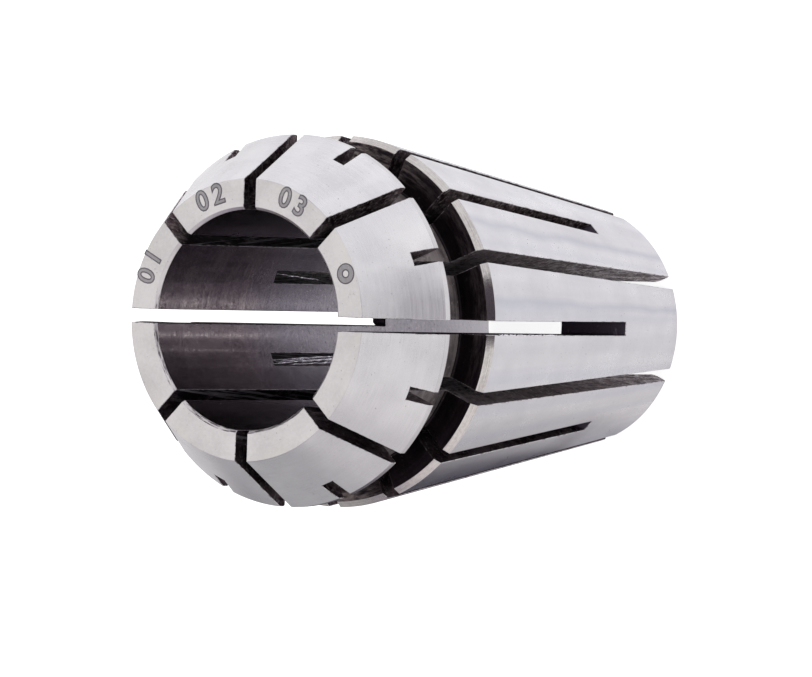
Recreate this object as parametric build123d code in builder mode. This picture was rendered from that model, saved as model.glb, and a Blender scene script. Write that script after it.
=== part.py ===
from build123d import *
import os
from math import radians, sqrt, tan

# An ER spring collet, size 16, for a 10 mm shank: one turned, bored and ground sleeve, slit from both ends.
# It stands on its small end, with the ring that faces the nut on top. Millimetres, +Z up along its axis,
# and the origin at the middle of the small end.

# Lengths along the axis
length = 27.5
land_length = 0.41          # straight rim between the nut cone and the groove
groove_width = 3.2

# Diameters
bore_diameter = 10.0
face_diameter = 12.8        # outer edge of the flat ring on top
head_diameter = 17.0        # the straight rim, widest part of the head
groove_diameter = 13.7
tail_diameter = 11.5        # narrow end of the taper, at the bottom

# Slopes, each side of the axis
cone_angle = 30.0           # nut cone
taper_angle = 8.0           # spindle taper

# Broken edges
bore_mouth_chamfer = 0.13
bore_tail_chamfer = 0.2
body_chamfer = 0.32
tail_edge_radius = 0.15

# Slots, sawn with a round blade that plunges a little past the bore wall
slot_count = 8              # from each end
slot_width = 0.63
blade_radius = 12.5
uncut_tail = 5.9            # left whole below the slots that start at the ring
head_notch = 1.48           # how far the slots that start at the tail run on into the head
ring_slot_overcut = 0.64    # plunge past the bore wall, slots from the ring
tail_slot_overcut = 0.16    # plunge past the bore wall, slots from the tail

# Worked out
bore_radius = bore_diameter / 2
face_radius = face_diameter / 2
head_radius = head_diameter / 2
groove_radius = groove_diameter / 2
tail_radius = tail_diameter / 2
cone_length = (head_radius - face_radius) / tan(radians(cone_angle))
rim_top = length - cone_length
rim_bottom = rim_top - land_length
body_top = rim_bottom - groove_width
body_radius = tail_radius + body_top * tan(radians(taper_angle))
tail_edge_limit = (tail_radius - bore_radius) / 3   # keeps a flat land between the two broken edges
slot_pitch = 360 / slot_count


def blade_run(depth):
    """How far along the axis the blade's edge runs out over a cut of this depth."""
    return sqrt(blade_radius**2 - (blade_radius - depth) ** 2)


# One slot from the ring: it ends on the taper, uncut_tail above the small end
ring_slot_root = bore_radius - ring_slot_overcut
ring_slot_depth = tail_radius + uncut_tail * tan(radians(taper_angle)) - ring_slot_root
ring_slot_centre = uncut_tail + blade_run(ring_slot_depth)
with BuildPart() as ring_slot:
    with BuildSketch(Plane.XZ):
        with Locations((ring_slot_root + blade_radius, (ring_slot_centre + length) / 2)):
            SlotCenterToCenter(length - ring_slot_centre, 2 * blade_radius, rotation=90)
    extrude(amount=slot_width / 2, both=True)

# One slot from the tail: it crosses the groove and ends as a notch in the nut cone
tail_slot_root = bore_radius - tail_slot_overcut
notch_top = rim_bottom + head_notch
tail_slot_depth = face_radius + (length - notch_top) * tan(radians(cone_angle)) - tail_slot_root
tail_slot_centre = notch_top - blade_run(tail_slot_depth)
with BuildPart() as tail_slot:
    with BuildSketch(Plane.XZ):
        with Locations((tail_slot_root + blade_radius, tail_slot_centre / 2)):
            SlotCenterToCenter(tail_slot_centre, 2 * blade_radius, rotation=90)
    extrude(amount=slot_width / 2, both=True)

# The sleeve: turned, its edges broken, then slit. The slots of the two ends alternate round it.
with BuildPart() as collet:
    with BuildSketch(Plane.XZ):
        with BuildLine():
            Polyline(
                (bore_radius, 0),
                (tail_radius, 0),
                (body_radius, body_top),
                (groove_radius, body_top),
                (groove_radius, rim_bottom),
                (head_radius, rim_bottom),
                (head_radius, rim_top),
                (face_radius, length),
                (bore_radius, length),
                close=True,
            )
        make_face()
    revolve(axis=Axis.Z)

    rings = collet.edges().filter_by(GeomType.CIRCLE)
    tail_rings = rings.group_by(Axis.Z)[0].sort_by(SortBy.RADIUS)
    face_rings = rings.group_by(Axis.Z)[-1].sort_by(SortBy.RADIUS)
    body_ring = rings.sort_by(SortBy.RADIUS)[-1]
    chamfer(tail_rings[0], min(bore_tail_chamfer, tail_edge_limit))
    chamfer(face_rings[0], bore_mouth_chamfer)
    chamfer(body_ring, body_chamfer)
    fillet(tail_rings[-1], min(tail_edge_radius, tail_edge_limit))

    with PolarLocations(0, slot_count):
        add(ring_slot.part, mode=Mode.SUBTRACT)
    with PolarLocations(0, slot_count, start_angle=slot_pitch / 2):
        add(tail_slot.part, mode=Mode.SUBTRACT)

collet.part.label = "collet"
os.makedirs("parts", exist_ok=True)
export_step(collet.part, "parts/collet.step")
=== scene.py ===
import math
import random

import bmesh
import bpy
from mathutils import Euler, Matrix, Vector


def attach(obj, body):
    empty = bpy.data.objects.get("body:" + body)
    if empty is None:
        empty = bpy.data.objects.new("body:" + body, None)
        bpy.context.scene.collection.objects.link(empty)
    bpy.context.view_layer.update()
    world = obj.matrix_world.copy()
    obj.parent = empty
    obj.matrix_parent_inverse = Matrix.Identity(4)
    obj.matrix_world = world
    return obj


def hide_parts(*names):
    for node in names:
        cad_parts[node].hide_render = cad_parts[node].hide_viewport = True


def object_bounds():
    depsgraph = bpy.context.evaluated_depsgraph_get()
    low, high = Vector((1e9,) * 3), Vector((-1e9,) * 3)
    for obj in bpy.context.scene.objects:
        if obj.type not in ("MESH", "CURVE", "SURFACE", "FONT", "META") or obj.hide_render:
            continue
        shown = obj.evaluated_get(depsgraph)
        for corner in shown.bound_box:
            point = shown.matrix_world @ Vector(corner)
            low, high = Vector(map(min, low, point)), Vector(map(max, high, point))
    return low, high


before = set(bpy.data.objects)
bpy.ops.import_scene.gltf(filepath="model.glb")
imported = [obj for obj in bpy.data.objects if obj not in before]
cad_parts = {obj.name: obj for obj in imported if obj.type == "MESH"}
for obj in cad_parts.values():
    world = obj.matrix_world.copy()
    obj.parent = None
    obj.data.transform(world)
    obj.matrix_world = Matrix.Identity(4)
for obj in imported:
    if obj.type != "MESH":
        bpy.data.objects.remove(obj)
cad_box = [list(corner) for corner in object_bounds()]

# ----------------------------------------------------------------------
# The collet's sizes in millimetres, as in its CAD source. The mesh is made in millimetres too, because
# Blender's bevel is too coarse for metres at this size, and is scaled to metres at the end.
MM = 0.001
LENGTH = (cad_box[1][2] - cad_box[0][2]) / MM
LAND_LENGTH = 0.41
GROOVE_WIDTH = 3.2
BORE = 5.0
FACE = 6.4
HEAD = 8.5
GROOVE = 6.85
TAIL = 5.75
CONE_SLOPE = math.tan(math.radians(30))
TAPER_SLOPE = math.tan(math.radians(8))
MOUTH_CHAMFER = 0.13
TAIL_CHAMFER = 0.2
BODY_CHAMFER = 0.32
TAIL_ROUND = 0.15

SLOTS = 8
PITCH = 2 * math.pi / SLOTS
HALF_SLOT = 0.315
BLADE = 12.5
UNCUT_TAIL = 5.9
HEAD_NOTCH = 1.48
RING_SLOT_OVERCUT = 0.64
TAIL_SLOT_OVERCUT = 0.16

RIM_TOP = LENGTH - (HEAD - FACE) / CONE_SLOPE
RIM_BOTTOM = RIM_TOP - LAND_LENGTH
BODY_TOP = RIM_BOTTOM - GROOVE_WIDTH
BODY = TAIL + BODY_TOP * TAPER_SLOPE
NOTCH_TOP = RIM_BOTTOM + HEAD_NOTCH

# Broken edges that the CAD model leaves sharp. The slots' edge is the smallest, because a bevel wider than
# the roundings that it meets folds over itself.
EDGE = 0.04
RIM_EDGE = 0.1
SLOT_EDGE = 0.03
INNER_CORNER = 0.12

# How finely the mesh is cut: along the profile, and in columns round the axis. An even point of the profile
# that comes closer to a stop than GIVE_WAY of a step gives way to it.
ARC_PARTS = 4
LONGEST_STEP = 0.6
GIVE_WAY = 0.4
MAIN_COLUMNS = 12
HALF_SLOT_COLUMNS = 2
BLADE_STEPS = 14
HALF_PERIOD = 2 * HALF_SLOT_COLUMNS + MAIN_COLUMNS
PERIOD = 2 * HALF_PERIOD
COLUMNS = SLOTS * PERIOD

MATERIALS = (
    "ring_ground",
    "cone_ground",
    "rim_ground",
    "taper_ground",
    "body_chamfer",
    "groove_wall",
    "groove_floor",
    "bore_wall",
    "bore_mouth",
    "tail_face",
    "slot_wall",
    "slot_end",
    "slot_edge",
    "broken_edge",
)


# ----------------------------------------------------------------------
# Objects and pieces
def placed(name, data):
    """A new object in the scene."""
    thing = bpy.data.objects.new(name, data)
    bpy.context.scene.collection.objects.link(thing)
    return thing


def as_data(name, mesh):
    """Mesh data taken from a finished bmesh."""
    data = bpy.data.meshes.new(name)
    mesh.to_mesh(data)
    mesh.free()
    return data


def collet_piece(name, data):
    """A piece of the collet, from mesh data in millimetres."""
    data.name = name
    data.transform(Matrix.Scale(MM, 4))
    piece = placed(name, data)
    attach(piece, "root")
    return piece


def applied(draft):
    """A new mesh with the modifiers of a draft object applied; the draft is deleted."""
    bpy.context.view_layer.update()
    ready = draft.evaluated_get(bpy.context.evaluated_depsgraph_get())
    data = bpy.data.meshes.new_from_object(ready)
    bpy.data.objects.remove(draft)
    return data


# ----------------------------------------------------------------------
# The turned profile: corners, then points along the sides and round the corners
def profile_corners():
    """Radius, height, rounding, side that starts there and look of each corner, from the bore's tail out."""
    slant = math.cos(math.atan(TAPER_SLOPE))
    chamfer_foot = BODY_TOP - BODY_CHAMFER * slant
    return [
        (BORE, TAIL_CHAMFER, EDGE, "bore_mouth", "bore_mouth"),
        (BORE + TAIL_CHAMFER, 0, EDGE, "tail_face", "broken_edge"),
        (TAIL, 0, TAIL_ROUND, "taper_ground", "broken_edge"),
        (BODY - BODY_CHAMFER * slant * TAPER_SLOPE, chamfer_foot, EDGE, "body_chamfer", "broken_edge"),
        (BODY - BODY_CHAMFER, BODY_TOP, EDGE, "groove_wall", "groove_wall"),
        (GROOVE, BODY_TOP, INNER_CORNER, "groove_floor", "groove_wall"),
        (GROOVE, RIM_BOTTOM, INNER_CORNER, "groove_wall", "groove_wall"),
        (HEAD, RIM_BOTTOM, RIM_EDGE, "rim_ground", "groove_floor"),
        (HEAD, RIM_TOP, RIM_EDGE, "cone_ground", "broken_edge"),
        (FACE, LENGTH, EDGE, "ring_ground", "broken_edge"),
        (BORE + MOUTH_CHAMFER, LENGTH, EDGE, "bore_mouth", "bore_mouth"),
        (BORE, LENGTH - MOUTH_CHAMFER, EDGE, "bore_wall", "bore_mouth"),
    ]


def rounded_corner(before, corner, after, rounding):
    """The points of an arc that rounds off a corner between two straight sides."""
    back = (before - corner).normalized()
    on = (after - corner).normalized()
    half_angle = back.angle(on) / 2
    reach = rounding / math.tan(half_angle)
    centre = corner + (back + on).normalized() * rounding / math.sin(half_angle)
    start = (corner + back * reach - centre).normalized()
    end = (corner + on * reach - centre).normalized()
    return [centre + rounding * start.slerp(end, part / ARC_PARTS) for part in range(ARC_PARTS + 1)]


def side_points(start, end, heights):
    """Even points from the start of a straight side up to its end, and a point at each of the heights."""
    steps = max(1, math.ceil((end - start).length / LONGEST_STEP))
    parts = {step / steps for step in range(steps)}
    for height in heights:
        stop = (height - start.y) / (end.y - start.y)
        parts = {part for part in parts if part == 0 or abs(part - stop) > GIVE_WAY / steps}
        parts.add(stop)
    return [start.lerp(end, part) for part in sorted(parts)]


def profile_points(stops):
    """(radius, height, zone of the next step) all round the profile, with a point at each of the stops."""
    corners = profile_corners()
    count = len(corners)
    spots = [Vector(corner[:2]) for corner in corners]
    arcs = [
        rounded_corner(spots[k - 1], spots[k], spots[(k + 1) % count], corners[k][2]) for k in range(count)
    ]
    points = []
    for k in range(count):
        zone, corner_look = corners[k][3:]
        points += [(spot.x, spot.y, corner_look) for spot in arcs[k][:-1]]
        heights = [height for side, height in stops if side == zone]
        side = side_points(arcs[k][-1], arcs[(k + 1) % count][0], heights)
        points += [(spot.x, spot.y, zone) for spot in side]
    return points


def nearest(points, zone, height):
    """Index of the profile point that was put at a stop."""
    return min(
        (k for k in range(len(points)) if points[k][2] == zone),
        key=lambda k: abs(points[k][1] - height),
    )


def blade_run(depth):
    """How far along the axis the blade's edge runs out over a cut of this depth."""
    return math.sqrt(BLADE**2 - (BLADE - depth) ** 2)


class Slot:
    """One of the two families of slots: where its blade stood, and where its edge leaves the metal.

    The way is 1 for slots from the ring and -1 for slots from the tail. The middle is the mesh column in the
    middle of the first slot."""

    def __init__(self, outer_height, outer_radius, overcut, way, middle, outer_side, end_look):
        root = BORE - overcut
        self.centre_radius = root + BLADE
        self.centre_height = outer_height + way * blade_run(outer_radius - root)
        self.outer_radius = outer_radius
        self.way = way
        self.middle = middle
        self.end_look = end_look
        self.inner_height = self.centre_height - way * blade_run(overcut)
        self.stops = [(outer_side, outer_height), ("bore_wall", self.inner_height)]

    def run_out(self):
        """Points of the blade's edge from the bore to the outside, ends left out."""
        spots = []
        for step in range(1, BLADE_STEPS):
            radius = BORE + (self.outer_radius - BORE) * step / BLADE_STEPS
            run = math.sqrt(BLADE**2 - (self.centre_radius - radius) ** 2)
            spots.append((radius, self.centre_height - self.way * run))
        return spots

    def rows(self, points):
        """The rows of the profile that the slot cuts, in the profile's order.

        A slot from the ring starts with its outer end, and one from the tail with its end at the bore."""
        first, last = [nearest(points, *stop) for stop in self.stops][:: self.way]
        count = len(points)
        return [(first + step) % count for step in range((last - first) % count + 1)]

    def cuts(self, column):
        """Whether the cell after this column lies in a slot of the family."""
        return (column - self.middle + HALF_SLOT_COLUMNS) % PERIOD < 2 * HALF_SLOT_COLUMNS


RING_SLOT = Slot(
    UNCUT_TAIL,
    TAIL + UNCUT_TAIL * TAPER_SLOPE,
    RING_SLOT_OVERCUT,
    way=1,
    middle=0,
    outer_side="taper_ground",
    end_look="slot_end",
)
TAIL_SLOT = Slot(
    NOTCH_TOP,
    FACE + (LENGTH - NOTCH_TOP) * CONE_SLOPE,
    TAIL_SLOT_OVERCUT,
    way=-1,
    middle=HALF_PERIOD,
    outer_side="cone_ground",
    end_look="slot_wall",
)


# ----------------------------------------------------------------------
# The mesh: columns of points round the axis, left open at the slots, and the walls and ends of the slots
def column_angle(column, radius):
    """The angle of a column at a radius: slot walls are flat, so the columns beside them lean."""
    turn, column = divmod(column, PERIOD)
    if column > HALF_PERIOD:
        return (turn + 1) * PITCH - column_angle(PERIOD - column, radius)
    wall = math.asin(HALF_SLOT / radius)
    if column <= HALF_SLOT_COLUMNS:
        angle = math.asin(HALF_SLOT * column / HALF_SLOT_COLUMNS / radius)
    elif column >= HALF_PERIOD - HALF_SLOT_COLUMNS:
        share = (HALF_PERIOD - column) / HALF_SLOT_COLUMNS
        angle = PITCH / 2 - math.asin(HALF_SLOT * share / radius)
    else:
        share = (column - HALF_SLOT_COLUMNS) / MAIN_COLUMNS
        angle = wall + share * (PITCH / 2 - 2 * wall)
    return turn * PITCH + angle


class ColletMesh:
    """The collet's mesh under construction."""

    def __init__(self):
        self.points = profile_points(RING_SLOT.stops + TAIL_SLOT.stops)
        self.mesh = bmesh.new()
        self.weights = self.mesh.edges.layers.float.new("bevel_weight_edge")
        self.made = {}
        self.slot_faces = set()

    def vertex(self, key, radius, height, column):
        """The vertex with a key, made when it is first asked for."""
        if key not in self.made:
            angle = column_angle(column % COLUMNS, radius)
            self.made[key] = self.mesh.verts.new((radius * math.cos(angle), radius * math.sin(angle), height))
        return self.made[key]

    def turned(self, row, column):
        """The vertex where a column meets a row of the profile."""
        radius, height, _ = self.points[row]
        return self.vertex((row, column % COLUMNS), radius, height, column)

    def face(self, corners, zone):
        face = self.mesh.faces.new(corners)
        face.material_index = MATERIALS.index(zone)
        face.smooth = True
        return face

    def add_turned_faces(self):
        cuts = [(slot, set(slot.rows(self.points)[:-1])) for slot in (RING_SLOT, TAIL_SLOT)]
        for row, (_, _, zone) in enumerate(self.points):
            after = (row + 1) % len(self.points)
            for column in range(COLUMNS):
                if any(row in rows and slot.cuts(column) for slot, rows in cuts):
                    continue
                near = [self.turned(row, column), self.turned(row, column + 1)]
                far = [self.turned(after, column + 1), self.turned(after, column)]
                self.face(near + far, zone)

    def add_slots(self, slot):
        """The two walls of each slot, and the strip that the blade's edge left between them."""
        rows = slot.rows(self.points)
        bore_row, outer_row = (rows[-1], rows[0])[:: slot.way]
        run_out = slot.run_out()

        def blade_edge(step, column):
            if step == 0:
                return self.turned(bore_row, column)
            if step == BLADE_STEPS:
                return self.turned(outer_row, column)
            return self.vertex((slot.way, step, column % COLUMNS), *run_out[step - 1], column)

        for middle in range(slot.middle, COLUMNS, PERIOD):
            walls = (middle - HALF_SLOT_COLUMNS, middle + HALF_SLOT_COLUMNS)
            for wall in walls:
                loop = [self.turned(row, wall) for row in rows]
                loop += [blade_edge(step, wall) for step in range(1, BLADE_STEPS)[:: slot.way]]
                self.slot_faces.add(self.face(loop, "slot_wall"))
            for step in range(BLADE_STEPS):
                for column in range(*walls):
                    near = [blade_edge(step, column), blade_edge(step, column + 1)]
                    far = [blade_edge(step + 1, column + 1), blade_edge(step + 1, column)]
                    self.slot_faces.add(self.face(near + far, slot.end_look))

    def finished(self):
        """Mesh data with all its looks, and a bevel weight on each edge between a slot and the outside."""
        bmesh.ops.recalc_face_normals(self.mesh, faces=self.mesh.faces)
        for edge in self.mesh.edges:
            if sum(face in self.slot_faces for face in edge.link_faces) == 1:
                edge[self.weights] = 1.0
        data = as_data("collet_mesh", self.mesh)
        for zone in MATERIALS:
            data.materials.append(LOOKS[zone])
        return data


def bevelled(data):
    """The slots' edges broken, in the groove as dark as their walls, and normals that keep the flats flat."""
    draft = placed("draft", data)
    bevel = draft.modifiers.new("bevel", "BEVEL")
    bevel.limit_method = "WEIGHT"
    bevel.width = SLOT_EDGE
    bevel.segments = 2
    bevel.use_clamp_overlap = False
    bevel.material = edge_look = MATERIALS.index("slot_edge")
    weighted = draft.modifiers.new("normals", "WEIGHTED_NORMAL")
    weighted.keep_sharp = False
    weighted.weight = 100
    data = applied(draft)
    for face in data.polygons:
        in_groove = BODY_TOP - EDGE < face.center.z < RIM_BOTTOM + EDGE
        if in_groove and BORE + EDGE < math.hypot(*face.center[:2]) and face.material_index == edge_look:
            face.material_index = MATERIALS.index("slot_wall")
    return data


# ----------------------------------------------------------------------
# Materials. Colours are linear, and a noise stays between about 0.3 and 0.7.
class Nodes:
    """A short way to write the nodes of a material or the world."""

    def __init__(self, owner):
        owner.use_nodes = True
        self.owner = owner
        self.tree = owner.node_tree
        self.tree.nodes.clear()

    def link(self, source, target):
        """A value or colour set on a socket, or a socket linked to it."""
        if isinstance(source, (int, float)):
            target.default_value = source
        elif isinstance(source, tuple):
            target.default_value = (*source, 1) if len(target.default_value) == 4 else source
        else:
            self.tree.links.new(source, target)

    def math(self, operation, first, second=0.0):
        node = self.tree.nodes.new("ShaderNodeMath")
        node.operation = operation
        self.link(first, node.inputs[0])
        self.link(second, node.inputs[1])
        return node.outputs[0]

    def times(self, product, *factors):
        """A product of values."""
        for factor in factors:
            product = self.math("MULTIPLY", product, factor)
        return product

    def weighed(self, *terms):
        """A sum of values, each with its weight."""
        total = None
        for value, weight in terms:
            term = self.times(value, weight)
            total = term if total is None else self.math("ADD", total, term)
        return total

    def vector_math(self, operation, first, second):
        node = self.tree.nodes.new("ShaderNodeVectorMath")
        node.operation = operation
        self.link(first, node.inputs[0])
        self.link(second, node.inputs["Scale"] if operation == "SCALE" else node.inputs[1])
        return node.outputs["Value"] if operation == "LENGTH" else node.outputs[0]

    def length(self, vector):
        return self.vector_math("LENGTH", vector, (0, 0, 0))

    def combine(self, x, y, z):
        node = self.tree.nodes.new("ShaderNodeCombineXYZ")
        for source, target in zip((x, y, z), node.inputs):
            self.link(source, target)
        return node.outputs[0]

    def separate(self, vector):
        node = self.tree.nodes.new("ShaderNodeSeparateXYZ")
        self.link(vector, node.inputs[0])
        return node.outputs

    def noise(self, vector, scale=1.0, detail=3.0, rough=0.5, seed=0.0):
        node = self.tree.nodes.new("ShaderNodeTexNoise")
        node.noise_dimensions = "4D"
        self.link(vector, node.inputs["Vector"])
        node.inputs["W"].default_value = seed
        node.inputs["Scale"].default_value = scale
        node.inputs["Detail"].default_value = detail
        node.inputs["Roughness"].default_value = rough
        return node.outputs["Fac"]

    def spread(self, value, low, high, to_low=0.0, to_high=1.0):
        """A value taken from one range to another, and held at its ends."""
        node = self.tree.nodes.new("ShaderNodeMapRange")
        for source, target in zip((value, low, high, to_low, to_high), node.inputs):
            self.link(source, target)
        return node.outputs[0]

    def line(self, value, middle, half_width):
        """1 along a line where a value passes through the middle, fading to 0 at its sides."""
        away = self.math("ABSOLUTE", self.math("SUBTRACT", value, middle))
        return self.spread(away, half_width, 0.0)

    def mix(self, share, first, second):
        """The first colour, or as share goes from 0 to 1 the second."""
        node = self.tree.nodes.new("ShaderNodeMix")
        node.data_type = "RGBA"
        colors = [socket for socket in node.inputs if socket.type == "RGBA"]
        self.link(share, node.inputs[0])
        self.link(first, colors[0])
        self.link(second, colors[1])
        return next(socket for socket in node.outputs if socket.type == "RGBA")

    def path(self, ray):
        return self.tree.nodes.new("ShaderNodeLightPath").outputs[ray]

    def shades(self, value, stops):
        """A ramp of colours along a value from 0 to 1."""
        node = self.tree.nodes.new("ShaderNodeValToRGB")
        elements = node.color_ramp.elements
        while len(elements) < len(stops):
            elements.new(0.5)
        for element, (place, color) in zip(elements, stops):
            element.position = place
            element.color = (*color, 1)
        self.link(value, node.inputs["Fac"])
        return node.outputs["Color"]


class Surface(Nodes):
    """A material with one Principled shader, and the collet's own coordinates in millimetres."""

    def __init__(self, name):
        super().__init__(bpy.data.materials.new(name))
        output = self.tree.nodes.new("ShaderNodeOutputMaterial")
        self.shader = self.tree.nodes.new("ShaderNodeBsdfPrincipled")
        self.link(self.shader.outputs["BSDF"], output.inputs["Surface"])
        coordinate = self.tree.nodes.new("ShaderNodeTexCoord")
        self.position = self.vector_math("SCALE", coordinate.outputs["Object"], 1 / MM)
        self.x, self.y, self.height = self.separate(self.position)
        self.radius = self.length(self.combine(self.x, self.y, 0.0))
        self.across = self.math("DIVIDE", self.x, self.radius)
        self.up = self.math("DIVIDE", self.y, self.radius)

    def turned(self, around, along):
        """Coordinates that stretch a noise into rings round the axis, on any side of the profile."""
        step = self.math("SUBTRACT", self.height, self.radius)
        return self.combine(
            self.times(self.across, around), self.times(self.up, around), self.times(step, along)
        )

    def axial(self, around, along):
        """Coordinates that stretch a noise into lines along the axis."""
        return self.combine(
            self.times(self.across, around), self.times(self.up, around), self.times(self.height, along)
        )

    def bump(self, height, depth):
        """Bumps this deep, in millimetres."""
        node = self.tree.nodes.new("ShaderNodeBump")
        node.inputs["Strength"].default_value = 1.0
        node.inputs["Distance"].default_value = depth * MM
        self.link(height, node.inputs["Height"])
        self.link(node.outputs[0], self.shader.inputs["Normal"])

    def finish(self, color, roughness, metallic=1.0):
        self.link(color, self.shader.inputs["Base Color"])
        self.link(roughness, self.shader.inputs["Roughness"])
        self.link(metallic, self.shader.inputs["Metallic"])
        return self.owner


# Ground and turned steel
STEEL = (0.71, 0.695, 0.71)
STEEL_SHADE = (0.6, 0.585, 0.605)
GLINT = (0.8, 0.785, 0.8)
PIT = (0.3, 0.27, 0.27)
GRAIN_DEPTH = 0.0012


def ground_steel(name, color, shade, roughness, rings=0.2, bands=0.2, clouds=0.35, grain=0.25, tint=None):
    """Ground steel: fine rings, bands along the axis, soft clouds and grain, and here and there a pit."""
    nodes = Surface(name)
    position = nodes.position
    fine = nodes.noise(nodes.turned(5.0, 14.0), detail=4.0, rough=0.65)
    speckle = nodes.noise(position, scale=6.0, rough=0.65, seed=5.0)
    wear = nodes.weighed(
        (fine, rings),
        (nodes.noise(nodes.axial(5.0, 0.04), seed=1.0), bands),
        (nodes.noise(position, scale=0.6, seed=7.0), clouds),
        (speckle, grain),
    )
    tone = nodes.mix(nodes.spread(wear, 0.41, 0.59), shade, color)
    tone = nodes.mix(nodes.spread(speckle, 0.5, 0.72, 0.0, 0.35), tone, shade)
    tone = nodes.mix(nodes.spread(speckle, 0.48, 0.3, 0.0, 0.25), tone, GLINT)
    if tint:
        tone = tint(nodes, tone)
    pits = nodes.noise(position, scale=9.0, detail=1.0, seed=11.0)
    tone = nodes.mix(nodes.spread(pits, 0.7, 0.78, 0.0, 0.7), tone, PIT)
    nodes.bump(nodes.weighed((fine, 0.5 + rings), (speckle, 0.5)), GRAIN_DEPTH)
    return nodes.finish(tone, nodes.spread(wear, 0.42, 0.58, roughness + 0.05, roughness - 0.04))


def dark_steel(name, low, high, fleck, roughness, metallic, around=4.0, along=5.0, bump=0.01, tint=None):
    """Steel left dark by heat treatment, with the rings of the turning tool and rubbed, paler flecks."""
    nodes = Surface(name)
    rings = nodes.noise(nodes.turned(around, along), detail=4.0, rough=0.65)
    clouds = nodes.noise(nodes.position, scale=0.9, rough=0.6, seed=2.0)
    grain = nodes.noise(nodes.position, scale=5.0, rough=0.7, seed=9.0)
    tone = nodes.mix(nodes.spread(nodes.weighed((rings, 0.5), (clouds, 0.5)), 0.4, 0.62), low, high)
    if tint:
        tone = tint(nodes, tone)
    tone = nodes.mix(nodes.spread(grain, 0.58, 0.76), tone, fleck)
    nodes.bump(nodes.weighed((rings, 1.0), (grain, 1.0)), bump)
    return nodes.finish(tone, nodes.spread(clouds, 0.3, 0.7, roughness - 0.06, roughness + 0.08), metallic)


# Painted shade and a painted highlight on the nut cone, in sines of the angle round it, to which the
# unevenness adds
# about 0.12: where the painted shade starts, is full, starts to fade and ends, and the middle of a painted
# highlight at the cone's foot
CONE_UNEVENNESS = 0.25
PAINTED_SHADE_SINES = (0.1, 0.14, 0.26, 0.5)
PAINTED_SHADE_HEIGHTS = (LENGTH + 0.8, LENGTH - 1.4)
PAINTED_SHADE_LOW = (0.38, 0.365, 0.39)
PAINTED_SHADE_HIGH = (0.47, 0.45, 0.475)
PAINTED_HIGHLIGHT = (0.83, 0.81, 0.815)
PAINTED_HIGHLIGHT_SINE = 0.62
PAINTED_HIGHLIGHT_HEIGHTS = (LENGTH - 1.0, LENGTH - 2.8)


def cone_painted_light(nodes, tone):
    """Painted shade on one petal, drawn with the grinding wheel's rings, and beside it a painted highlight at
    the cone's foot.
    """
    uneven = nodes.noise(nodes.position, scale=0.7, detail=2.0, seed=13.0)
    rings = nodes.noise(nodes.turned(3.0, 6.0), detail=4.0, rough=0.65, seed=22.0)
    sides = nodes.weighed((nodes.up, 1.0), (uneven, CONE_UNEVENNESS))
    low, low_full, high_full, high = PAINTED_SHADE_SINES
    # Painted shade on one petal, in dark tones with the grinding wheel's rings
    patch = nodes.times(nodes.spread(sides, low, low_full), nodes.spread(sides, high, high_full))
    drop = nodes.weighed((nodes.height, 1.0), (uneven, 1.5))
    near_side = nodes.spread(nodes.across, 0.0, 0.1)
    patch = nodes.times(patch, nodes.spread(drop, *PAINTED_SHADE_HEIGHTS, 0.1, 1.0), near_side)
    tone = nodes.mix(patch, tone, nodes.mix(nodes.spread(rings, 0.38, 0.62), PAINTED_SHADE_LOW, PAINTED_SHADE_HIGH))
    # Painted highlight along the cone's foot
    foot = nodes.spread(nodes.height, *PAINTED_HIGHLIGHT_HEIGHTS, 0.0, 0.8)
    return nodes.mix(nodes.times(foot, nodes.line(sides, PAINTED_HIGHLIGHT_SINE, 0.2)), tone, PAINTED_HIGHLIGHT)


# Darker bands along the taper, the wide low one a painted shade, each with the sine of its angle and its half
# width, and a dark print
TAPER_BANDS = ((0.15, 0.045), (0.57, 0.04), (-0.86, 0.12))
BAND_UNEVENNESS = 0.06
BLUE_GREY = (0.52, 0.53, 0.6)
DEEP_BLUE_GREY = (0.46, 0.465, 0.53)
PRINT_PLACE = (3.9, -5.6, 6.5)
PRINT_REACH = 2.4
PRINT_TONE = (0.36, 0.34, 0.37)


def banded_and_printed_taper(nodes, tone):
    """Blue-grey bands along the petals, the wide low one painted shade, and a dark print low on one of them.
    """
    bands = nodes.noise(nodes.axial(8.0, 0.03), detail=2.0, rough=0.4, seed=14.0)
    tone = nodes.mix(nodes.spread(bands, 0.5, 0.66, 0.0, 0.4), tone, BLUE_GREY)
    uneven = nodes.noise(nodes.position, scale=0.4, detail=2.0, seed=23.0)
    side = nodes.weighed((nodes.up, 1.0), (uneven, BAND_UNEVENNESS))
    # Darker bands at given angles; the wide one low on the taper is painted shade
    for middle, half_width in TAPER_BANDS:
        band = nodes.line(side, middle + BAND_UNEVENNESS / 2, half_width)
        tone = nodes.mix(nodes.times(band, 0.6), tone, DEEP_BLUE_GREY)
    away = nodes.length(nodes.vector_math("SUBTRACT", nodes.position, PRINT_PLACE))
    uneven = nodes.noise(nodes.position, scale=0.8, detail=2.0, seed=13.0)
    away = nodes.math("ADD", away, nodes.times(uneven, PRINT_REACH * 0.6))
    return nodes.mix(nodes.spread(away, PRINT_REACH * 0.4, PRINT_REACH * 1.3, 0.7, 0.0), tone, PRINT_TONE)


OIL_START = 5.8
OIL_TONE = (0.62, 0.64, 0.55)


def oily_rim(nodes, tone):
    """A faint yellow-green film towards the ring's outer edge."""
    film = nodes.noise(nodes.position, scale=0.9, detail=2.0, seed=4.0)
    edge = nodes.spread(nodes.radius, OIL_START, FACE, 0.0, 0.35)
    return nodes.mix(nodes.times(edge, nodes.spread(film, 0.48, 0.62)), tone, OIL_TONE)


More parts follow.
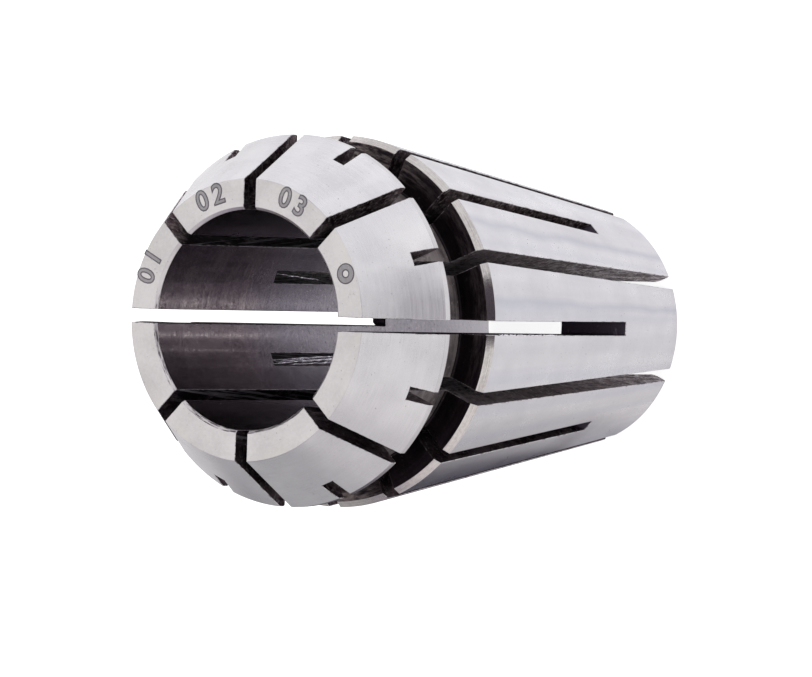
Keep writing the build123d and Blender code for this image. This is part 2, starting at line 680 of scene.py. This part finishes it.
# The groove's brim: the radii where its rubbed part starts and is full, the sines of the angles where its two
# bright sides do, and its tones at these sides, above the middle, below it and in the grit
BRIM_RADII = (GROOVE + 0.85, GROOVE + 1.25)
BRIM_SIDES = ((0.8, 0.95), (-0.93, -0.99))
BRIM_SIDE = (0.38, 0.32, 0.31)
BRIM_TOP = (0.14, 0.11, 0.118)
BRIM_BOTTOM = (0.04, 0.028, 0.036)
BRIM_GRIT = (0.022, 0.014, 0.02)


def rubbed_brim(nodes, tone):
    """The groove's wall is paler towards its brim, most at two sides of it and least below its middle."""
    grit = nodes.noise(nodes.turned(6.0, 4.0), detail=5.0, rough=0.75, seed=15.0)
    sides = nodes.math("MAXIMUM", *[nodes.spread(nodes.up, *sines) for sines in BRIM_SIDES])
    rubbed = nodes.mix(nodes.spread(nodes.up, -0.1, -0.5), BRIM_TOP, BRIM_BOTTOM)
    rubbed = nodes.mix(sides, rubbed, BRIM_SIDE)
    rubbed = nodes.mix(nodes.spread(grit, 0.43, 0.64), BRIM_GRIT, rubbed)
    reach = nodes.weighed((nodes.radius, 1.0), (grit, 0.4), (sides, 0.5))
    return nodes.mix(nodes.spread(reach, *BRIM_RADII), tone, rubbed)


# The bore's wear and painted light: the heights between which a worn ring, the pale mouth and the pale tail
# fade in, and rubbed lines and one broad painted sheen, each with the sine of its angle, its half width and
# how bright it is
WORN_RING = (LENGTH - 8.3, LENGTH - 4.7)
PALE_MOUTH = (LENGTH - 5.0, LENGTH - 2.0)
PALE_TAIL = (5.5, 0.5)
RUB_LINES_AND_SHEEN = ((-0.17, 0.035, 0.9), (-0.31, 0.03, 0.5), (0.06, 0.22, 0.7))
RUB_AND_SHEEN_TONE = (0.95, 0.85, 0.82)
BORE_RING = (0.4, 0.335, 0.345)
MOUTH_TONE = (0.46, 0.39, 0.42)
BORE_LOWER_SIDE = (0.4, 0.335, 0.355)
BORE_SPECK = (0.66, 0.58, 0.6)
BORE_PIT = (0.07, 0.055, 0.065)
# Painted shade at the bore's top and bottom
BORE_PAINTED_SHADE = (0.03, 0.02, 0.03)
BLUED_LOW = (0.36, 0.345, 0.395)
BLUED_HIGH = (0.42, 0.4, 0.46)
BLUED_DARK = (0.16, 0.135, 0.16)
TAIL_TONE = (0.66, 0.63, 0.68)


def used_bore(nodes, tone):
    """The bore is drawn with rings, rubbed bright in lines by shanks beside a broad painted sheen, blued
    behind a worn ring, and darkened at its top and bottom as painted shade.
    """
    fine = nodes.noise(nodes.turned(1.6, 6.0), detail=5.0, rough=0.75, seed=17.0)
    grit = nodes.noise(nodes.position, scale=5.0, rough=0.7, seed=18.0)
    specks = nodes.noise(nodes.position, scale=6.5, rough=0.8, seed=20.0)
    tone = nodes.mix(nodes.spread(fine, 0.48, 0.68, 0.0, 0.7), tone, BORE_RING)
    mouth = nodes.times(nodes.spread(nodes.height, *PALE_MOUTH), nodes.spread(nodes.up, 0.7, 0.5))
    tone = nodes.mix(nodes.times(mouth, nodes.spread(grit, 0.35, 0.6, 0.1, 0.5)), tone, MOUTH_TONE)
    tone = nodes.mix(nodes.spread(nodes.up, 0.12, -0.12, 0.0, 0.5), tone, BORE_LOWER_SIDE)

    front = nodes.weighed((nodes.height, 1.0), (grit, 1.6), (fine, 2.0))
    front = nodes.spread(front, *WORN_RING)
    # Rubbed lines, and the broad third one a painted sheen
    rubs_and_sheen = [(nodes.line(nodes.up, middle, half_width), share) for middle, half_width, share in RUB_LINES_AND_SHEEN]
    broken_up = nodes.spread(nodes.weighed((grit, 0.5), (fine, 0.5)), 0.4, 0.6)
    rub_and_sheen = nodes.times(nodes.weighed(*rubs_and_sheen), broken_up, nodes.spread(front, 0.0, 1.0, 0.15, 1.0))
    tone = nodes.mix(rub_and_sheen, tone, RUB_AND_SHEEN_TONE)

    blued = nodes.mix(nodes.spread(fine, 0.4, 0.62), BLUED_LOW, BLUED_HIGH)
    blued = nodes.mix(nodes.spread(nodes.up, 0.1, 0.5, 0.0, 0.5), blued, BLUED_DARK)
    tone = nodes.mix(nodes.spread(front, 0.0, 1.0, 0.85, 0.0), tone, blued)
    tone = nodes.mix(nodes.spread(specks, 0.56, 0.68, 0.0, 0.65), tone, BORE_SPECK)
    tone = nodes.mix(nodes.spread(specks, 0.44, 0.34, 0.0, 0.6), tone, BORE_PIT)
    tone = nodes.mix(nodes.spread(nodes.height, *PALE_TAIL, 0.0, 0.85), tone, TAIL_TONE)
    # Painted shade: the bore darker at its top and bottom
    side = nodes.math("ABSOLUTE", nodes.up)
    return nodes.mix(nodes.spread(side, 0.72, 0.9, 0.0, 0.5), tone, BORE_PAINTED_SHADE)


SCRATCH_TONE = (0.075, 0.055, 0.065)
TORN_TONE = (0.1, 0.08, 0.09)


def scratched_mouth(nodes, tone):
    """The bore's mouth is bright, with dark rings of scratches on one side."""
    scratches = nodes.noise(nodes.axial(7.0, 22.0), rough=0.7, seed=19.0)
    side = nodes.spread(nodes.weighed((nodes.up, 1.0), (nodes.across, 0.35)), -0.35, 0.2, 0.06, 0.3)
    scratched = nodes.spread(nodes.math("SUBTRACT", scratches, side), 0.4, 0.52)
    return nodes.mix(scratched, tone, SCRATCH_TONE)


def torn_edge(nodes, tone):
    """The slots' edges, dark where the blade tore them."""
    torn = nodes.noise(nodes.position, scale=2.6, detail=4.0, rough=0.75, seed=24.0)
    return nodes.mix(nodes.spread(torn, 0.5, 0.58, 0.0, 0.8), tone, TORN_TONE)


# The slots' walls. The blades left them black. They are mottled near the outside, with more pale flecks in
# the upper slots as painted light, darkened in the top and bottom slots as painted shade, streaked with burr
# near the bore, torn towards the tail, where bright streaks are partly a painted reflection, and gritty
# towards the ring.
# Sines of the angle say in which slots, and heights and radii where such a stretch starts and is full.
SAWN_LOW = (0.015, 0.009, 0.012)
SAWN_HIGH = (0.2, 0.155, 0.16)
SAWN_SMEAR = (0.34, 0.28, 0.285)
SAWN_FLECK = (0.62, 0.56, 0.56)
SAWN_GRIT = (0.44, 0.4, 0.43)
SLOT_PAINTED_SHADE = (0.02, 0.013, 0.02)
BURIED_SCRATCH = (0.2, 0.16, 0.185)
BURIED_WORN = (0.2, 0.175, 0.215)
BURR_TONE = (0.75, 0.71, 0.8)
REAR_DARK = (0.1, 0.085, 0.095)
REAR_PAINTED_REFLECTION = (0.95, 0.92, 0.95)
SAWN_TINT = (0.6, 0.5, 0.55)
MIDDLE_SLOTS = 0.38
SHADED_SLOT_SINES = ((-0.45, -0.65), (0.8, 0.9))
BURR_RADII = (BORE + 1.1, BORE + 0.7)
TORN_AND_REFLECTION_HEIGHTS = (15.0, 4.0)
TORN_AND_REFLECTION_LEAN = -9.0
GRITTY_HEIGHTS = (14.0, 17.0)
SAWN_DEPTH = 0.025


def outside_depth(nodes):
    """How deep a point lies under the taper or the nut cone, whichever is nearer."""
    taper = nodes.weighed((nodes.height, TAPER_SLOPE), (nodes.radius, -1.0), (TAIL, 1.0))
    cone = nodes.weighed((nodes.height, -CONE_SLOPE), (nodes.radius, -1.0), (FACE + LENGTH * CONE_SLOPE, 1.0))
    return nodes.math("MINIMUM", taper, cone)


def sawn_steel(name, rubbed_depth, deep, burrs):
    """What the slitting blades left, with painted light, shade and reflection in some slots.

    The steel is mottled down to the rubbed depth under the outside. Deeper in it has the deep colour and, as
    far as burrs says, streaks of burr along the bore."""
    nodes = Surface(name)
    nodes.shader.inputs["Specular IOR Level"].default_value = 0.1
    nodes.link(SAWN_TINT, nodes.shader.inputs["Specular Tint"])
    up = nodes.up
    wall = nodes.weighed((nodes.across, 7.0), (up, 5.0))
    scratches = nodes.combine(nodes.times(nodes.radius, 3.2), wall, nodes.times(nodes.height, 0.9))
    scratches = nodes.noise(scratches, detail=5.0, rough=0.7)
    torn = nodes.combine(nodes.times(nodes.height, 1.3), nodes.times(nodes.radius, 5.5), wall)
    torn = nodes.noise(torn, detail=5.0, rough=0.78, seed=25.0)
    smears = nodes.noise(nodes.position, scale=1.1, rough=0.6, seed=3.0)
    flecks = nodes.noise(nodes.position, scale=4.5, rough=0.7, seed=8.0)
    in_middle = nodes.spread(nodes.line(nodes.math("ABSOLUTE", up), MIDDLE_SLOTS, 0.2), 0.0, 0.5)
    inside = nodes.math("ADD", outside_depth(nodes), smears)
    inside = nodes.spread(inside, rubbed_depth, rubbed_depth + 0.8)

    # near the outside
    tone = nodes.mix(nodes.spread(scratches, 0.44, 0.58), SAWN_LOW, SAWN_HIGH)
    tone = nodes.mix(nodes.spread(smears, 0.48, 0.62, 0.0, 0.7), tone, SAWN_SMEAR)
    # More pale flecks towards the upper slots: painted light
    flecks_lit_above = nodes.weighed((flecks, 1.0), (nodes.spread(up, 0.1, 0.45), 0.045))
    tone = nodes.mix(nodes.spread(flecks_lit_above, 0.54, 0.66), tone, SAWN_FLECK)
    # Painted shade in the top and bottom slots
    shaded_slots = nodes.math("MAXIMUM", *[nodes.spread(up, *sines) for sines in SHADED_SLOT_SINES])
    tone = nodes.mix(nodes.times(shaded_slots, 0.65), tone, SLOT_PAINTED_SHADE)

    # further in, with burrs along the bore
    buried = nodes.mix(nodes.spread(scratches, 0.55, 0.66), deep, BURIED_SCRATCH)
    brink = nodes.spread(nodes.radius, *BURR_RADII, 0.0, burrs)
    lower_middle = nodes.spread(nodes.line(up, -MIDDLE_SLOTS, 0.3), 0.0, 0.5, 0.3, 1.0)
    brink = nodes.times(brink, lower_middle)
    lean = nodes.weighed((nodes.radius, 6.0), (nodes.height, 0.7))
    burr = nodes.combine(lean, wall, nodes.times(nodes.height, 0.12))
    burr = nodes.noise(burr, detail=2.0, rough=0.6, seed=21.0)
    buried = nodes.mix(nodes.times(nodes.spread(burr, 0.54, 0.6), brink), buried, BURR_TONE)
    worn = nodes.times(brink, in_middle, nodes.spread(scratches, 0.4, 0.6, 0.3, 1.0))
    buried = nodes.mix(worn, buried, BURIED_WORN)
    tone = nodes.mix(inside, tone, buried)

    # torn towards the tail with bright streaks that are partly a painted reflection, and gritty towards the
    # ring
    rear = nodes.weighed((nodes.height, 1.0), (up, TORN_AND_REFLECTION_LEAN))
    rear = nodes.times(nodes.spread(rear, *TORN_AND_REFLECTION_HEIGHTS, 0.0, 0.9), in_middle)
    tone = nodes.mix(nodes.times(rear, nodes.spread(torn, 0.54, 0.42)), tone, REAR_DARK)
    # Bright streaks towards the tail: torn metal with a painted reflection
    tone = nodes.mix(nodes.times(rear, nodes.spread(torn, 0.48, 0.55)), tone, REAR_PAINTED_REFLECTION)
    near_side = nodes.spread(nodes.across, 0.0, 0.1)
    gritty = nodes.times(in_middle, near_side, nodes.spread(nodes.height, *GRITTY_HEIGHTS))
    grit = nodes.weighed((smears, 0.3), (torn, 0.4), (flecks, 0.3))
    tone = nodes.mix(nodes.times(gritty, nodes.spread(grit, 0.44, 0.58, 0.0, 0.8)), tone, SAWN_GRIT)

    nodes.bump(nodes.weighed((scratches, 1.0), (flecks, 0.6), (torn, 1.6)), SAWN_DEPTH)
    roughness = nodes.weighed((nodes.spread(smears, 0.35, 0.65, 0.3, 0.45), 1.0), (inside, 0.3))
    bare = nodes.times(nodes.spread(inside, 0.0, 1.0, 0.85, 0.1), nodes.spread(rear, 0.0, 1.0, 1.0, 0.5))
    return nodes.finish(tone, roughness, bare)


EDGE_STEEL = (0.72, 0.7, 0.71)
EDGE_SHADE = (0.5, 0.48, 0.5)
LOOKS = {
    look.name: look
    for look in (
        ground_steel(
            "ring_ground", (0.715, 0.697, 0.695), (0.6, 0.582, 0.58), 0.36,
            rings=0.1, bands=0.0, clouds=0.4, grain=0.5, tint=oily_rim,
        ),
        ground_steel(
            "cone_ground", STEEL, STEEL_SHADE, 0.24,
            rings=0.25, bands=0.15, clouds=0.4, grain=0.2, tint=cone_painted_light,
        ),
        ground_steel("rim_ground", (0.66, 0.645, 0.65), (0.56, 0.54, 0.55), 0.3),
        ground_steel(
            "taper_ground", STEEL, STEEL_SHADE, 0.3,
            rings=0.05, bands=0.45, clouds=0.25, grain=0.25, tint=banded_and_printed_taper,
        ),
        ground_steel(
            "body_chamfer", (0.7, 0.67, 0.65), (0.42, 0.385, 0.375), 0.13,
            rings=0.4, bands=0.05, clouds=0.15, grain=0.4,
        ),
        dark_steel(
            "groove_wall", (0.003, 0.002, 0.003), (0.016, 0.01, 0.014), (0.05, 0.04, 0.04), 0.4, 0.8,
            tint=rubbed_brim,
        ),
        dark_steel(
            "groove_floor", (0.1, 0.08, 0.085), (0.34, 0.29, 0.295), (0.56, 0.5, 0.49), 0.5, 0.3,
            around=3.0, along=4.0,
        ),
        dark_steel(
            "bore_wall", (0.17, 0.135, 0.155), (0.3, 0.24, 0.27), (0.4, 0.33, 0.35), 0.2, 1.0,
            around=5.0, along=9.0, bump=0.002, tint=used_bore,
        ),
        ground_steel("bore_mouth", (0.72, 0.69, 0.71), (0.56, 0.53, 0.54), 0.4, tint=scratched_mouth),
        ground_steel("tail_face", (0.55, 0.53, 0.55), (0.4, 0.38, 0.4), 0.4),
        sawn_steel("slot_wall", 1.3, (0.006, 0.003, 0.005), burrs=1.0),
        sawn_steel("slot_end", -1.0, (0.055, 0.042, 0.062), burrs=0.0),
        ground_steel("broken_edge", EDGE_STEEL, EDGE_SHADE, 0.34),
        ground_steel("slot_edge", EDGE_STEEL, EDGE_SHADE, 0.34, tint=torn_edge),
        ground_steel(
            "burr_steel", (0.92, 0.89, 0.97), (0.4, 0.37, 0.43), 0.3,
            rings=0.5, bands=0.0, clouds=0.3, grain=0.6,
        ),
        dark_steel("mark_edge", (0.12, 0.11, 0.13), (0.19, 0.175, 0.2), (0.3, 0.28, 0.29), 0.5, 0.4),
        dark_steel("mark_fill", (0.34, 0.325, 0.34), (0.46, 0.44, 0.455), (0.62, 0.59, 0.58), 0.5, 0.4),
    )
}

# ----------------------------------------------------------------------
# The collet
form = ColletMesh()
form.add_turned_faces()
form.add_slots(RING_SLOT)
form.add_slots(TAIL_SLOT)
collet = collet_piece("ground_collet", bevelled(form.finished()))
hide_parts("collet")

# ----------------------------------------------------------------------
# Plain numbers etched on the ring, each a darker outline with a paler face just above it. A layer has its
# look, how much wider than the mark it is, and how far it stands out of the ring.
NUMBER_RADIUS = 5.88
NUMBER_HEIGHT = 0.92
LETTER_SHARE = 0.7
LETTER_STEPS = 4
DIGIT_PITCH = 9.0
NUMBERS = {"01": 157.6, "02": 111.8, "03": 66.1}
DOT_ANGLE = 22.7
DOT_RADII = (0.2, 0.42)
DOT_STEPS = 48
SUNK = 0.02
WELD = 1e-5
LAYERS = (("mark_edge", 0.055, 0.004), ("mark_fill", -0.005, 0.007))


def on_ring(angle, rise):
    """The middle of a mark that stands out of the ring, its top outwards."""
    turn = Matrix.Rotation(math.radians(angle), 4, "Z")
    place = Matrix.Translation((NUMBER_RADIUS, 0, LENGTH + (rise - SUNK) / 2))
    return turn @ place @ Matrix.Rotation(-math.pi / 2, 4, "Z")


def digit_mesh(digit, grow, rise):
    curve = bpy.data.curves.new("digit", "FONT")
    curve.body = digit
    curve.align_x = "CENTER"
    curve.align_y = "CENTER"
    curve.size = NUMBER_HEIGHT / LETTER_SHARE
    curve.offset = grow
    curve.extrude = (rise + SUNK) / 2
    curve.resolution_u = LETTER_STEPS
    return applied(placed("draft", curve))


def dot_mesh(grow, rise):
    """A plain ring."""
    mesh = bmesh.new()
    inner, outer = DOT_RADII[0] - grow, DOT_RADII[1] + grow
    half = (rise + SUNK) / 2
    section = [(inner, -half), (outer, -half), (outer, half), (inner, half)]
    corners = [mesh.verts.new((radius, 0, height)) for radius, height in section]
    edges = [mesh.edges.new((corners[k - 1], corners[k])) for k in range(len(corners))]
    bmesh.ops.spin(
        mesh,
        geom=corners + edges,
        axis=(0, 0, 1),
        cent=(0, 0, 0),
        angle=2 * math.pi,
        steps=DOT_STEPS,
        use_merge=True,
    )
    return as_data("dot", mesh)


def mark_layer(look, grow, rise):
    """All the marks of one layer, as one closed mesh."""
    mesh = bmesh.new()
    parts = [(dot_mesh(grow, rise), DOT_ANGLE)]
    for number, angle in NUMBERS.items():
        for k, digit in enumerate(number):
            parts.append((digit_mesh(digit, grow, rise), angle + DIGIT_PITCH * (0.5 - k)))
    for data, angle in parts:
        data.transform(on_ring(angle, rise))
        mesh.from_mesh(data)
        bpy.data.meshes.remove(data)
    bmesh.ops.remove_doubles(mesh, verts=mesh.verts, dist=WELD)
    bmesh.ops.recalc_face_normals(mesh, faces=mesh.faces)
    data = as_data(look, mesh)
    data.materials.append(LOOKS[look])
    collet_piece("etched_" + look, data)


for look, grow, rise in LAYERS:
    mark_layer(look, grow, rise)

# ----------------------------------------------------------------------
# Splinters that the blades left in the slots, where these open into the bore. Each runs along its slot from
# one place across the slot to another: angle of the slot, the two places, half its width, start and length
SPLINTERS = (
    (22.5, 0.1, -0.12, 0.03, 0.8, 3.5),
    (67.5, -0.16, 0.05, 0.035, 0.4, 4.5),
    (112.5, 0.05, 0.18, 0.03, 1.2, 3.0),
    (157.5, -0.12, 0.14, 0.035, 0.15, 3.6),
    (202.5, 0.18, -0.12, 0.07, 0.1, 6.0),
    (202.5, 0.22, 0.06, 0.05, 1.4, 5.0),
    (247.5, -0.1, 0.16, 0.03, 0.6, 4.0),
    (292.5, 0.14, -0.05, 0.035, 0.9, 3.2),
    (337.5, -0.05, -0.18, 0.03, 0.5, 3.8),
    (202.5, 0.0, -0.24, 0.04, 0.0, 6.0),
    (202.5, 0.1, -0.2, 0.025, 0.2, 5.0),
)
SPLINTER_SIDES = 6
SPLINTER_STEPS = 18
SPLINTER_SEED = 3
SPLINTER_DEPTH = 0.09
SPLINTER_TIP = 0.15
SPLINTER_SIZES = (0.5, 1.3)
SPLINTER_WANDER = 0.02
# Burrs along the lower edge of one slot on the taper: start, length and half width
BURRS = ((19.5, 1.7, 0.032), (17.7, 2.6, 0.024), (14.9, 1.4, 0.028))
BURR_SIZES = (0.2, 1.3)
BURR_WANDER = 0.012
BURR_RISE = (-0.01, 0.015)
# A chip in the far end of one slit: height, half depth and half width from end to end
CHIP = ((8.6, 0.1, 0.28), (8.75, 0.2, 0.31), (9.3, 0.2, 0.312), (9.56, 0.18, 0.3), (9.64, 0.1, 0.22))
CHIP_SLOT = 180
CHIP_DEPTH = 0.22


def splinter(mesh, angle, stations):
    """A closed splinter through stations: radius, place across the slot, height, half depth, half width."""
    turn = Matrix.Rotation(math.radians(angle), 4, "Z")
    rings = []
    for radius, place, height, deep, wide in stations:
        ring = []
        for k in range(SPLINTER_SIDES):
            side = 2 * math.pi * (k + 0.5) / SPLINTER_SIDES
            spot = Vector((radius + deep * math.cos(side), place + wide * math.sin(side), height))
            ring.append(mesh.verts.new(turn @ spot))
        rings.append(ring)
    for before, after in zip(rings, rings[1:]):
        for k in range(SPLINTER_SIDES):
            mesh.faces.new((before[k - 1], before[k], after[k], after[k - 1]))
    mesh.faces.new(rings[0])
    mesh.faces.new(rings[-1])


def splinter_stations(first, last, half_width, start, length):
    """A splinter in the mouth of a slot, thick in its middle and uneven."""
    stations = []
    for step in range(SPLINTER_STEPS + 1):
        share = step / SPLINTER_STEPS
        taper = SPLINTER_TIP + (1 - SPLINTER_TIP) * math.sin(math.pi * share) ** 0.5
        size = half_width * taper * chance.uniform(*SPLINTER_SIZES)
        place = first + (last - first) * share + chance.uniform(-SPLINTER_WANDER, SPLINTER_WANDER)
        height = TAIL_SLOT.inner_height - start - length * share
        radius = BORE + SPLINTER_DEPTH + chance.uniform(-SPLINTER_WANDER, SPLINTER_WANDER)
        stations.append((radius, place, height, size / 2, size))
    return stations


def burr_stations(start, length, half_width):
    """A ragged burr on the edge of a slot, where this opens through the taper."""
    stations = []
    for step in range(SPLINTER_STEPS + 1):
        height = start - length * step / SPLINTER_STEPS
        size = half_width * chance.uniform(*BURR_SIZES)
        place = -HALF_SLOT + chance.uniform(-BURR_WANDER, BURR_WANDER)
        radius = TAIL + height * TAPER_SLOPE + chance.uniform(*BURR_RISE)
        stations.append((radius, place, height, size, size))
    return stations


def splinter_piece(name, mesh, look):
    bmesh.ops.recalc_face_normals(mesh, faces=mesh.faces)
    data = as_data(name, mesh)
    data.materials.append(LOOKS[look])
    collet_piece(name, data)


chance = random.Random(SPLINTER_SEED)
splinters = bmesh.new()
for angle, *course in SPLINTERS:
    splinter(splinters, angle, splinter_stations(*course))
for course in BURRS:
    splinter(splinters, 0, burr_stations(*course))
splinter_piece("slot_splinters", splinters, "burr_steel")

chip = bmesh.new()
splinter(chip, CHIP_SLOT, [(BORE + CHIP_DEPTH, 0, height, deep, wide) for height, deep, wide in CHIP])
splinter_piece("slot_chip", chip, "slot_end")

# ----------------------------------------------------------------------
# Floor and world. The camera sees both white, and the metal mirrors a bright room that is darker on one side,
# given as a direction in plan. The shades go round from the bright side to the dim one.
DIM_SIDE = (-0.42, -0.91)
WORLD_LEVEL = 0.5
WORLD_SHADES = (
    (0.0, (0.98, 0.985, 1.0)),
    (0.5, (1.0, 0.99, 0.995)),
    (0.72, (1.0, 0.975, 0.975)),
    (0.87, (0.935, 0.9, 0.915)),
    (0.93, (0.87, 0.825, 0.845)),
    (0.98, (0.52, 0.49, 0.54)),
    (1.0, (0.43, 0.4, 0.46)),
)
FLOOR_REACH = 3.0
FLOOR_GLOW = 0.85
FLOOR_LEVEL = 0.86
FLOOR_IN_BORE = 0.6
FLOOR_SHADES = (
    (0.0, (0.5, 0.5, 0.53)),
    (0.5, (0.45, 0.445, 0.46)),
    (0.72, (0.37, 0.355, 0.365)),
    (0.83, (0.17, 0.16, 0.18)),
    (0.93, (0.3, 0.285, 0.3)),
    (0.97, (0.03, 0.025, 0.04)),
    (1.0, (0.02, 0.02, 0.03)),
)
# The floor's dark patch in mirrors: from where on the dim side, how far in millimetres, and its colour
PATCH_DIMNESS = (0.86, 0.95)
PATCH_REACH = (60.0, 25.0)
PATCH_TONE = (0.08, 0.07, 0.085)


def grey(level):
    return (level, level, level)


def mirror_rays(nodes):
    """1 for the glossy and transmission rays in which the metal sees the background."""
    return nodes.math("MAXIMUM", nodes.path("Is Glossy Ray"), nodes.path("Is Transmission Ray"))


def dimness(nodes, x, y):
    """0 on the bright side to 1 on the dim side, round the collet's axis."""
    reach = nodes.length(nodes.combine(x, y, 0.0))
    facing = nodes.math("DIVIDE", nodes.weighed((x, DIM_SIDE[0]), (y, DIM_SIDE[1])), reach)
    return nodes.spread(facing, -1.0, 1.0)


def floor_look():
    nodes = Surface("floor")
    nodes.shader.inputs["Specular IOR Level"].default_value = 0.0
    nodes.shader.inputs["Emission Strength"].default_value = 1.0
    dim = dimness(nodes, nodes.x, nodes.y)
    mirrored = mirror_rays(nodes)
    past_bore = nodes.spread(nodes.radius, BORE, TAIL)

    glow = nodes.mix(past_bore, grey(FLOOR_IN_BORE), nodes.shades(dim, FLOOR_SHADES))
    glow = nodes.mix(mirrored, grey(0), glow)
    glow = nodes.mix(nodes.path("Is Camera Ray"), glow, grey(FLOOR_GLOW))
    nodes.link(glow, nodes.shader.inputs["Emission Color"])

    patch = nodes.times(nodes.spread(nodes.radius, *PATCH_REACH), nodes.spread(dim, *PATCH_DIMNESS))
    patch = nodes.times(patch, past_bore, mirrored)
    return nodes.finish(nodes.mix(patch, grey(FLOOR_LEVEL), PATCH_TONE), 0.9, 0.0)


floor_data = bpy.data.meshes.new("floor")
floor_corners = [(x * FLOOR_REACH, y * FLOOR_REACH, 0) for x, y in ((-1, -1), (1, -1), (1, 1), (-1, 1))]
floor_data.from_pydata(floor_corners, [], [(0, 1, 2, 3)])
floor_data.materials.append(floor_look())
floor = placed("floor", floor_data)

world = bpy.data.worlds.new("studio")
bpy.context.scene.world = world
sky = Nodes(world)
world_out = sky.tree.nodes.new("ShaderNodeOutputWorld")
background = sky.tree.nodes.new("ShaderNodeBackground")
direction = sky.separate(sky.tree.nodes.new("ShaderNodeTexCoord").outputs["Generated"])
room = sky.shades(dimness(sky, direction["X"], direction["Y"]), WORLD_SHADES)
seen = sky.mix(mirror_rays(sky), grey(WORLD_LEVEL), room)
sky.link(sky.mix(sky.path("Is Camera Ray"), seen, grey(1)), background.inputs["Color"])
sky.link(background.outputs[0], world_out.inputs["Surface"])

# A dim card round the place of the camera, seen in the metal alone
CARD_SIDE = Vector((0.8, 0.11, 0.535))
CARD_DISTANCE = 0.25
CARD_RADIUS = 0.07
CARD_TONE = (0.15, 0.125, 0.165)
card_mesh = bmesh.new()
bmesh.ops.create_circle(card_mesh, cap_ends=True, radius=CARD_RADIUS, segments=32)
card_data = as_data("card", card_mesh)
card_data.materials.append(Surface("card").finish(CARD_TONE, 1.0, 0.0))
card = placed("card", card_data)
card.location = CARD_SIDE.normalized() * CARD_DISTANCE
card.rotation_euler = CARD_SIDE.to_track_quat("Z", "Y").to_euler()
for ray in ("camera", "diffuse", "transmission", "shadow", "volume_scatter"):
    setattr(card, "visible_" + ray, False)

# A soft lamp on the side that is up in the picture, which brightens the matt parts and isn't mirrored
KEY_PLACE = Vector((-0.05, 0.24, 0.2))
KEY_AIM = Vector((0, 0, 0.01))
KEY_SIZE = 0.4
KEY_POWER = 0.35
key_data = bpy.data.lights.new("key", "AREA")
key_data.shape = "DISK"
key_data.size = KEY_SIZE
key_data.energy = KEY_POWER
key = placed("key", key_data)
key.location = KEY_PLACE
key.rotation_euler = (KEY_AIM - KEY_PLACE).to_track_quat("-Z", "Y").to_euler()
key.visible_glossy = False

# The camera stands where the photograph's did, on its side: the collet's ring end is at the left.
CAMERA_PLACE = (0.19777, 0.00476, 0.30425)
CAMERA_TURN = (0.444, 34.3315, 2.384)
FOCAL_PIXELS = 7527.1
IMAGE_WIDTH = 812
camera_data = bpy.data.cameras.new("camera")
camera_data.sensor_width = 36
camera_data.lens = FOCAL_PIXELS * camera_data.sensor_width / IMAGE_WIDTH
camera_data.clip_start = 0.01
camera_data.clip_end = 20
camera = placed("camera", camera_data)
camera.location = CAMERA_PLACE
camera.rotation_euler = Euler([math.radians(angle) for angle in CAMERA_TURN])
bpy.context.scene.camera = camera
bpy.context.scene.view_settings.view_transform = "Standard"
